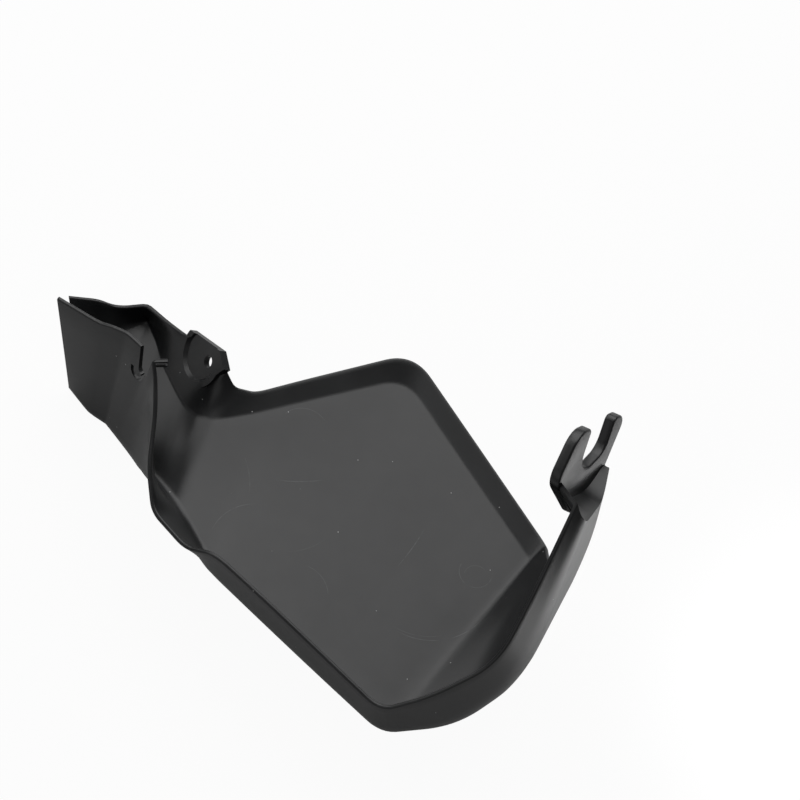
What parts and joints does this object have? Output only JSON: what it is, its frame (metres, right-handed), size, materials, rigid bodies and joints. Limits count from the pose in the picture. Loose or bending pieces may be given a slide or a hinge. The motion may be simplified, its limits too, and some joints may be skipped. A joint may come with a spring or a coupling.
{
  "type": "motorcycle hand guard",
  "caption": "Moulded plastic hand guard: a shallow panel with a socket neck and bolt lug inboard, and an arm that rises to an open fork for the bar end.",
  "frame": {"origin": "middle of the bolt hole in the lug at the neck", "axes": "+X from the inboard socket to the outboard arm, along the lower wall of the panel; +Y from the lower wall to the upper border; +Z from the outer face of the panel towards the rider's hand"},
  "size_m": [0.3163, 0.1815, 0.1663],
  "materials": {
    "black_plastic": "satin black moulded plastic"
  },
  "bodies": {
    "root": {"hand_guard": "black_plastic"}
  },
  "joints": []
}
